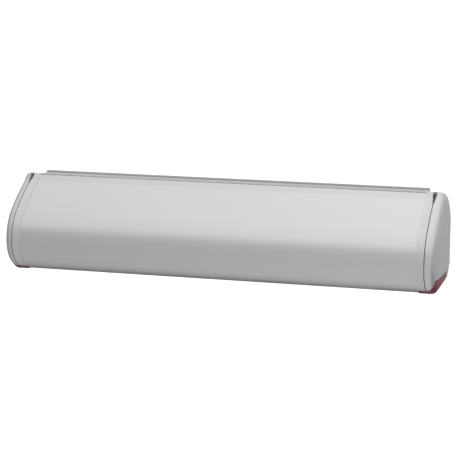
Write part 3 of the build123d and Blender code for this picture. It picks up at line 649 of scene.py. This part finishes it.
@dataclass
class Dome:
    """Outer surface of the moulded corners.

    Each section is the outline of the front, shrunk towards the middle of the wall plane. The
    packed shells follow it through a few sections only, so here their outer points are laid on it.
    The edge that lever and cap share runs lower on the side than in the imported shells.

    Attributes:
        rim: Distance of the first section from the middle of the awning.
        depth: How far the full curve would stand out from the first section.
        flat_share: Share of that depth at which the flat side ends the curve.
        middle: Height of the point in the wall plane that the sections shrink towards.
        upper_bend: Power and root of the shrinking above that point.
        lower_bend: Power and root of the shrinking below it.
        bulge: Depth and height of the foremost point of the outline.
        belly: Radius of the arc above that point and the angle, in degrees, where it ends.
        slope_radius: Radius of the long arc that follows it.
        chin: Radius of the arc below the foremost point and the angle, in degrees, where it ends.
        keel_radius: Radius of the arc that follows it.
        proud: How far the outline stands out of these arcs.
        foot: Depth at which the long arc ends.
        shoulder: Depth and height at which the rounded top edge starts.
        crown_middle: Depth and height of a point on that edge.
        crown: Depth and height of its end.
        rear_top: Height of the outline's upper end in the wall plane.
        bottom: Height of its lower end.
        arc_points: Points on each arc.
        crown_points: Points on the rounded top edge.
        between: Steps from one of these points to the next.
        underside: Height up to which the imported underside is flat.
        touch: Distance that counts as none.
        near: Distance from the surface up to which a point is moved.
        stride: Longest move of a point in one round.
        rounds: Number of rounds.
        probe: Step by which slopes are measured.
        edge: Height, on the side, of the edge that lever and cap share.
        edge_drop: How far it is brought down.
        edge_span: Lowest and highest place that moves along with it.
        edge_reach: Distance from the first section at which the move is full.
        outward: Least cosine between a face and the surface where the face is an outer one.
        wall_facing: Share of its normal from which a face counts as turned to the wall.
        weld: Distance at which points of a shell are one point.
        crisp: Angle from which an edge stays crisp.
    """

    rim: float = 223.99 * MM
    depth: float = 13.5 * MM
    flat_share: float = 0.97
    middle: float = -2.0 * MM
    upper_bend: tuple[float, float] = (3.5, 2.6)
    lower_bend: tuple[float, float] = (5.0, 2.8)
    bulge: tuple[float, float] = (-86.0 * MM, -17.0 * MM)
    belly: tuple[float, float] = (42.2 * MM, 51.5)
    slope_radius: float = 263.0 * MM
    chin: tuple[float, float] = (28.5 * MM, 49.0)
    keel_radius: float = 87.0 * MM
    proud: float = 0.6 * MM
    foot: float = -29.5 * MM
    shoulder: tuple[float, float] = (-23.4 * MM, 47.9 * MM)
    crown_middle: tuple[float, float] = (-22.3 * MM, 49.0 * MM)
    crown: tuple[float, float] = (-20.6 * MM, 49.4 * MM)
    rear_top: float = 45.4 * MM
    bottom: float = -50.2 * MM
    arc_points: int = 200
    crown_points: int = 20
    between: int = 12
    underside: float = -49.2 * MM
    touch: float = 0.02 * MM
    near: float = 2.5 * MM
    stride: float = 0.25 * MM
    rounds: int = 16
    probe: float = 0.002 * MM
    edge: float = -30.0 * MM
    edge_drop: float = 4.3 * MM
    edge_span: tuple[float, float] = (-46.0 * MM, -12.0 * MM)
    edge_reach: float = 6.0 * MM
    outward: float = 0.5
    wall_facing: float = 0.5
    weld: float = 0.001 * MM
    crisp: float = radians(28)

    def __post_init__(self) -> None:
        """Tabulate the outline as a distance from the middle by angle."""
        self.flat_side = self.rim + self.depth * self.flat_share - self.touch
        points = self.outline()
        heights = points[:, 1] - self.middle
        self.angles = np.arctan2(heights, -points[:, 0])
        self.reaches = np.hypot(heights, points[:, 0])

    def outline(self) -> np.ndarray:
        """Outline of the first section, from the bottom of the wall plane round to its top.

        Returns:
            Rows of depth and height.
        """
        front, level = self.bulge
        belly, belly_end = self.belly[0], radians(self.belly[1])
        chin, chin_end = self.chin[0], -radians(self.chin[1])
        slope = self.slope_radius - belly
        keel = self.keel_radius - chin
        slope_spot = (front + belly + slope * cos(belly_end), level - slope * sin(belly_end))
        keel_spot = (front + chin + keel * cos(chin_end), level - keel * sin(chin_end))
        low = -asin((keel_spot[1] - self.bottom) / (self.keel_radius + self.proud))
        high = acos((slope_spot[0] - self.foot) / (self.slope_radius + self.proud))
        arcs = (
            (keel_spot, self.keel_radius, low, chin_end),
            ((front + chin, level), chin, chin_end, 0.0),
            ((front + belly, level), belly, 0.0, belly_end),
            (slope_spot, self.slope_radius, belly_end, high),
        )
        rows = [(0.0, self.bottom)]
        for (depth, height), radius, start, end in arcs:
            reach = radius + self.proud
            for angle in np.linspace(start, end, self.arc_points):
                rows.append((depth - reach * cos(angle), height + reach * sin(angle)))
        corners = np.array([self.shoulder, self.crown_middle, self.crown])
        for share in np.linspace(0.0, 1.0, self.crown_points):
            rest = 1 - share
            weights = np.array([rest * (rest - share), 4 * share * rest, share * (share - rest)])
            rows.append(tuple(weights @ corners))
        rows.append((0.0, self.rear_top))
        pairs = zip(rows, rows[1:])
        runs = [np.linspace(first, second, self.between, endpoint=False) for first, second in pairs]
        return np.vstack([*runs, rows[-1]])

    def outside(self, points: np.ndarray) -> np.ndarray:
        """How far points lie outside the surface, in the section grown to the first one's size.

        Args:
            points: Rows of coordinates on the right side.

        Returns:
            One distance for each point, negative inside.
        """
        step = np.clip((points[:, 0] - self.rim) / self.depth, 0.0, self.flat_share)
        bends = (self.upper_bend, self.lower_bend)
        upper, lower = ((1 - step**power) ** (1 / root) for power, root in bends)
        height = points[:, 2] - self.middle
        height = height / np.where(height > 0, upper, lower)
        ahead = -points[:, 1] / upper
        reach = np.interp(np.arctan2(height, ahead), self.angles, self.reaches)
        return np.hypot(ahead, height) - reach

    def slope(self, points: np.ndarray) -> np.ndarray:
        """Slope of the distance outside.

        Args:
            points: Rows of coordinates on the right side.

        Returns:
            One gradient for each point, pointing outwards.
        """
        steps = np.eye(3) * self.probe
        rises = [self.outside(points + step) - self.outside(points - step) for step in steps]
        return np.stack(rises, axis=1) / (2 * self.probe)

    def lowered(self, points: np.ndarray) -> np.ndarray:
        """Points with the edge that lever and cap share brought down on the side.

        Args:
            points: Rows of coordinates on the right side.

        Returns:
            The moved points.
        """
        height = points[:, 2]
        low, high = self.edge_span
        below = (height - low) / (self.edge - low)
        above = (high - height) / (high - self.edge)
        across = (points[:, 0] - self.rim) / self.edge_reach
        shares = np.clip(np.array([np.minimum(below, above), across]), 0, 1)
        moved = points.copy()
        moved[:, 2] -= self.edge_drop * (shares**2 * (3 - 2 * shares)).prod(axis=0)
        return moved

    def laid(self, points: np.ndarray, chosen: np.ndarray) -> np.ndarray:
        """Chosen points near the surface moved square onto it, the others as they were.

        Points of the wall plane and of the flat underside stay in their plane.

        Args:
            points: Rows of coordinates on the right side.
            chosen: Which of them are part of an outer face.

        Returns:
            The moved points.
        """
        moved = points.copy()
        rear = points[:, 1] > -self.touch
        low = points[:, 2] < self.underside + self.touch
        free = chosen & (points[:, 0] > self.rim + self.touch) & (points[:, 0] < self.flat_side)
        steepness = np.linalg.norm(self.slope(points), axis=1)
        free &= np.abs(self.outside(points)) < self.near * steepness
        for _ in range(self.rounds):
            off, slope = self.outside(moved), self.slope(moved)
            steepness = np.linalg.norm(slope, axis=1)
            way = np.clip(off / steepness, -self.stride, self.stride) / steepness
            moved[free] -= slope[free] * way[free, None]
            moved[rear, 1] = points[rear, 1]
            moved[low, 2] = points[low, 2]
            moved[free, 1] = np.minimum(moved[free, 1], 0.0)
        return moved

    def outer_points(self, form: bmesh.types.BMesh, outwards: np.ndarray) -> np.ndarray:
        """Find the points that belong to an outer face.

        Args:
            form: Merged copy of a moulding.
            outwards: Way out of the surface at each point.

        Returns:
            One truth value for each point.
        """
        chosen = np.zeros(len(outwards), bool)
        for face in (item for item in form.faces if item.normal.y < self.wall_facing):
            for vert in face.verts:
                way = Vector(outwards[vert.index])
                chosen[vert.index] |= face.normal.dot(way) > self.outward * way.length
        return chosen

    def moulded(self, source: bpy.types.Object, name: str, body: str) -> str:
        """Put a smooth copy of a packed moulding in its place.

        Args:
            source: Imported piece.
            name: Name of the copy.
            body: Body that carries it.

        Returns:
            Name of the copy.
        """
        form = bmesh.new()
        form.from_mesh(source.data)
        bmesh.ops.remove_doubles(form, verts=form.verts, dist=self.weld)
        form.verts.index_update()
        points = np.array([vert.co for vert in form.verts])
        side = np.array([1.0 if points[:, 0].mean() > 0 else -1.0, 1.0, 1.0])
        chosen = self.outer_points(form, self.slope(points * side) * side)
        for vert, spot in zip(form.verts, self.laid(self.lowered(points * side), chosen) * side):
            vert.co = spot
        for face in form.faces:
            face.smooth = min(abs(vert.co.x) for vert in face.verts) < self.flat_side
        form.normal_update()
        for edge in form.edges:
            edge.smooth = edge.calc_face_angle(pi) < self.crisp
        piece = piece_from(name, form, source.data.materials[0])
        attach(piece, body)
        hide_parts(source.name)
        return name


@dataclass
class SubAssembly:
    """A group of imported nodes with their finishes, and the pieces that it adds.

    Attributes:
        wardrobe: Wardrobe with the finishes.
        finishes: Nodes of each finish.
    """

    wardrobe: Wardrobe
    finishes: ClassVar[dict[Finish, list[str]]] = {}

    def add_pieces(self) -> list[str]:
        """Names of the pieces that it adds, which are none here."""
        return []

    def build(self) -> list[str]:
        """Dress the nodes and add the pieces.

        Returns:
            Names of all of them.
        """
        for finish, nodes in self.finishes.items():
            self.wardrobe.dress(nodes, finish)
        return sum(self.finishes.values(), []) + self.add_pieces()


@dataclass
class Case(SubAssembly):
    """The case on the wall with its plates and domed caps.

    Attributes:
        dome: Surface of the caps.
    """

    dome: Dome
    finishes: ClassVar[dict[Finish, list[str]]] = {
        Finish.CASE: ["case_back", "bracket_channel"],
        Finish.CAP: each(SIDES, "end_cap"),
        Finish.PLATE: each(SIDES, "end_plate"),
        Finish.SEAL: ["wall_gasket", "lip_seal"],
        Finish.FIXING: each(SIDES, "end_plate_screws", "end_cap_screws"),
    }

    def add_pieces(self) -> list[str]:
        """Make the smooth caps.

        Returns:
            Their names.
        """
        names = []
        for side in SIDES:
            cap = self.wardrobe.node(f"end_cap_{side}")
            names.append(self.dome.moulded(cap, f"cap_moulding_{side}", "case"))
        return names


@dataclass
class LeadBar(SubAssembly):
    """The sliding front with its bands."""

    finishes: ClassVar[dict[Finish, list[str]]] = {
        Finish.PANEL: ["lead_bar"],
        Finish.CAP: each(SIDES, "lead_bar_band"),
        Finish.FIXING: ["band_screws"],
    }


@dataclass
class Levers(SubAssembly):
    """The corner levers with their pins and springs.

    Attributes:
        dome: Surface of the levers.
    """

    dome: Dome
    finishes: ClassVar[dict[Finish, list[str]]] = {
        Finish.LEVER: each(SIDES, "release_lever"),
        Finish.FIXING: each(SIDES, "lever_pin"),
        Finish.SPRING: each(SIDES, "lever_spring"),
    }

    def add_pieces(self) -> list[str]:
        """Make the smooth levers.

        Returns:
            Their names.
        """
        names = []
        for side in SIDES:
            lever = self.wardrobe.node(f"release_lever_{side}")
            names.append(self.dome.moulded(lever, f"lever_moulding_{side}", f"release_lever_{side}"))
        return names


@dataclass
class Roller(SubAssembly):
    """The roller with its bearings, mandrel and spring."""

    finishes: ClassVar[dict[Finish, list[str]]] = {
        Finish.STEEL: ["roller_tube", "spring_mandrel"],
        Finish.SPRING: ["torsion_spring"],
        Finish.FITTING: [*each(SIDES, "roller_plug"), "bearing_bush", "mandrel_anchor"],
    }


@dataclass
class Legs(SubAssembly):
    """The folding legs with their heads, clamps and feet."""

    finishes: ClassVar[dict[Finish, list[str]]] = {
        Finish.LEG: each(SIDES, "leg_tube", "leg_inner_tube", "leg_bracket"),
        Finish.FITTING: each(SIDES, "leg_head", "leg_collar", "leg_tip", "leg_foot"),
        Finish.LEVER: each(SIDES, "leg_clamp"),
        Finish.FIXING: each(SIDES, "leg_clamp_pin", "leg_pivot_pin"),
    }


@dataclass
class Rafters(SubAssembly):
    """The stored tension rafters in their clips."""

    finishes: ClassVar[dict[Finish, list[str]]] = {
        Finish.LEG: each(LEVELS, "rafter_tube", "rafter_inner"),
        Finish.FITTING: [*each(LEVELS, "rafter_ends"), "rafter_clips"],
    }


@dataclass
class Canopy(SubAssembly):
    """The cloth: the roll on its tube, the free sheet and the bead in the lead bar.

    Attributes:
        thickness: Thickness of a layer in the roll.
        cloth_share: Share of it that the cloth itself takes.
        turns: Turns of the roll that are made.
        turn_steps: Steps of a turn.
        rows: Steps along the free sheet.
        columns: Steps across the cloth.
        lift: How many layers the free sheet starts above the roll.
        clear_share: Share of the sheet's way that it leaves free at the roll.
        bead_sides: Sides of the bead.
    """

    thickness: float = 0.6 * MM
    cloth_share: float = 0.7
    turns: int = 2
    turn_steps: int = 96
    rows: int = 48
    columns: int = 60
    lift: float = 1.1
    clear_share: float = 0.02
    bead_sides: int = 24

    def __post_init__(self) -> None:
        """Read the places of roll and bead, and find where the sheet leaves the roll."""
        low, high = (Vector(corner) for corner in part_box("canopy_roll"))
        bead_low, bead_high = (Vector(corner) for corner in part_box("canopy_keder"))
        self.centre = (low + high) / 2
        self.outer = (high.z - low.z) / 2
        self.half = (high.x - low.x) / 2
        self.bead = (bead_low + bead_high) / 2
        self.bead_radius = (bead_high.z - bead_low.z) / 2
        gap = self.bead.yz - self.centre.yz
        self.exit_angle = atan2(gap.y, gap.x) - acos(self.outer / gap.length)

    def strip(self, name: str, path: list[Vector]) -> bpy.types.Object:
        """Sweep a path in the YZ plane along X as one strip with a UV map in metres.

        Args:
            name: Name of the piece.
            path: Points of the path.

        Returns:
            The strip, with its thickness.
        """
        form = bmesh.new()
        front = [form.verts.new((-self.half, point.y, point.z)) for point in path]
        for first, second in zip(front, front[1:]):
            form.edges.new((first, second))
        for _ in range(self.columns):
            seam = [edge for edge in form.edges if all(vert in front for vert in edge.verts)]
            grown = bmesh.ops.extrude_edge_only(form, edges=seam)
            front = [item for item in grown["geom"] if isinstance(item, bmesh.types.BMVert)]
            bmesh.ops.translate(form, verts=front, vec=(2 * self.half / self.columns, 0, 0))
        lengths = [self.length(path[: index + 1]) for index in range(len(path))]
        layer = form.loops.layers.uv.new("cloth")
        for face in form.faces:
            for loop in face.loops:
                spot = loop.vert.co
                nearest = min(range(len(path)), key=lambda index: (path[index].yz - spot.yz).length)
                loop[layer].uv = (spot.x, lengths[nearest])
            face.smooth = True
        piece = piece_from(name, form, self.wardrobe.materials[Finish.CLOTH])
        wall = piece.modifiers.new("thickness", "SOLIDIFY")
        wall.thickness = self.thickness * self.cloth_share
        wall.offset = 0.0
        return piece

    def roll_path(self) -> list[Vector]:
        """Path of the roll's outer turns, from where the sheet leaves it inwards.

        Returns:
            Points of the path.
        """
        path = []
        for step in range(self.turns * self.turn_steps + 1):
            turned = step / self.turn_steps
            radius = self.outer - self.thickness * (0.5 + turned)
            angle = self.exit_angle - 2 * pi * turned
            spot = (0, self.centre.y + radius * cos(angle), self.centre.z + radius * sin(angle))
            path.append(Vector(spot))
        return path

    def sheet_path(self, exit_point: Vector) -> list[Vector]:
        """Straight path of the free sheet from the roll to the bead.

        Args:
            exit_point: Outer end of the roll's path.

        Returns:
            Points of the path.
        """
        radial = Vector((0, cos(self.exit_angle), sin(self.exit_angle)))
        start = exit_point + radial * self.thickness * self.lift
        way = (Vector((0, self.bead.y, self.bead.z)) - start).normalized()
        reach = (self.bead - start).length - self.bead_radius
        shares = np.linspace(self.clear_share, 1.0, self.rows + 1).tolist()
        return [start + way * reach * share for share in shares]

    def cord(self) -> bmesh.types.BMesh:
        """Shape the bead, with a UV map for the weave.

        Returns:
            The bead's bmesh.
        """
        form = bmesh.new()
        bmesh.ops.create_cone(
            form,
            cap_ends=True,
            segments=self.bead_sides,
            radius1=self.bead_radius,
            radius2=self.bead_radius,
            depth=2 * self.half,
            matrix=Matrix.Translation(self.bead) @ Matrix.Rotation(pi / 2, 4, "Y"),
        )
        layer = form.loops.layers.uv.new("cloth")
        for face in form.faces:
            face.smooth = len(face.verts) == 4
            for loop in face.loops:
                loop[layer].uv = (loop.vert.co.x, loop.vert.co.z)
        return form

    def add_pieces(self) -> list[str]:
        """Make the roll, the sheet and the bead, and put them in place of the plain solids.

        Returns:
            Their names.
        """
        path = self.roll_path()
        roll = self.strip("canopy_on_roller", path)
        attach(roll, "roller")
        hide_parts("canopy_roll")

        path = self.sheet_path(path[0])
        sheet = self.strip("canopy_free_sheet", path)
        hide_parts("canopy_sheet")
        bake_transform(sheet)

        bead = piece_from("canopy_bead", self.cord(), self.wardrobe.materials[Finish.CLOTH])
        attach(bead, "lead_bar")
        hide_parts("canopy_keder")
        return [roll.name, sheet.name, bead.name]

    @staticmethod
    def length(path: list[Vector]) -> float:
        """Length of a path."""
        return sum((second - first).length for first, second in zip(path, path[1:]))


@dataclass
class Studio:
    """Pale floor, soft light and the photograph's camera.

    Attributes:
        azimuth: Turn of the camera round the awning, in degrees.
        elevation: Its height over the awning, in degrees.
        distance: Its distance from the target.
        target: Point that it looks at.
        lens: Focal length in millimetres.
        sensor: Width of the picture plane in millimetres.
        far: Farthest distance that it sees.
        floor_height: Height of the floor.
        floor_size: Half of its width.
        floor_tone: Grey of the floor.
        floor_roughness: Roughness of the floor.
        floor_glow: Strength of its own light, which only the camera sees.
        tent: Levels of light by the angle up from ahead, in degrees.
        sides: Levels of light by direction, from -1 at the left to 1 at the right.
    """

    azimuth: float = 15.84
    elevation: float = 11.38
    distance: float = 1.8304
    target: tuple[float, float, float] = (-0.00316, -0.0015, -0.00723)
    lens: float = 131.6
    sensor: float = 36.0
    far: float = 200.0
    floor_height: float = -1.35
    floor_size: float = 60.0
    floor_tone: float = 0.93
    floor_roughness: float = 0.9
    floor_glow: float = 0.3
    tent: Stops = (
        (-180, 0.50),
        (-160, 0.50),
        (-148, 0.02),
        (-130, 0.02),
        (-119, 0.84),
        (-60, 0.84),
        (-5, 0.74),
        (22, 0.74),
        (44, 1.34),
        (146, 1.34),
        (170, 0.55),
        (180, 0.50),
    )
    sides: Stops = ((-0.8, 0.35), (-0.1, 1.0), (0.1, 1.0), (0.7, 0.80))

    def camera(self) -> None:
        """Place the camera."""
        turn, lift = radians(self.azimuth), radians(self.elevation)
        way = Vector((sin(turn) * cos(lift), -cos(turn) * cos(lift), sin(lift)))
        data = bpy.data.cameras.new("camera")
        data.lens = self.lens
        data.sensor_width = self.sensor
        data.clip_end = self.far
        camera = bpy.data.objects.new("camera", data)
        camera.location = Vector(self.target) + way * self.distance
        camera.rotation_euler = way.to_track_quat("Z", "Y").to_euler()
        bpy.context.scene.collection.objects.link(camera)
        bpy.context.scene.camera = camera

    def floor(self) -> None:
        """Lay the floor, which lights nothing itself."""
        form = bmesh.new()
        bmesh.ops.create_grid(form, x_segments=1, y_segments=1, size=self.floor_size)
        bmesh.ops.translate(form, verts=form.verts, vec=(0, 0, self.floor_height))
        shader = Shader("floor_paint")
        shader.feed("Base Color", (self.floor_tone, self.floor_tone, self.floor_tone, 1))
        shader.feed("Roughness", self.floor_roughness)
        shader.feed("Emission Color", (1.0, 1.0, 1.0, 1))
        shader.feed("Emission Strength", self.floor_glow)
        floor = piece_from("floor", form, shader.material)
        floor.visible_diffuse = False
        floor.visible_glossy = False

    def light(self) -> None:
        """Set the tent of light: levels by height and depth, and less from the sides."""
        world = bpy.data.worlds.new("studio")
        world.use_nodes = True
        sky = Nodes(world.node_tree)
        across, back, up = sky.coordinates(sky.node("TexCoord", "Generated"))
        turn = up.angle(back * -1.0) * (180 / pi)
        background = world.node_tree.nodes["Background"]
        plug(background.inputs["Color"], sky.ramp(turn, -180, 180, self.tent))
        plug(background.inputs["Strength"], sky.ramp(across, -1, 1, self.sides))
        bpy.context.scene.world = world

    def tones(self) -> None:
        """Show light values as they are."""
        bpy.context.scene.view_settings.view_transform = "Standard"
        bpy.context.scene.view_settings.look = "None"

    def build(self) -> None:
        """Set up camera, floor, light and tones."""
        self.camera()
        self.floor()
        self.light()
        self.tones()


def main() -> None:
    """Load the frame, set up the studio, build the sub-assemblies in order and log each piece."""
    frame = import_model()
    Studio().build()
    log.info("Studio: camera, floor and light")
    wardrobe = Wardrobe(frame)
    dome = Dome()
    parts = (
        Case(wardrobe, dome),
        LeadBar(wardrobe),
        Levers(wardrobe, dome),
        Roller(wardrobe),
        Legs(wardrobe),
        Rafters(wardrobe),
        Canopy(wardrobe),
    )
    for part in parts:
        for piece in part.build():
            log.info("%s: %s", type(part).__name__, piece)


if __name__ == "__main__":
    main()
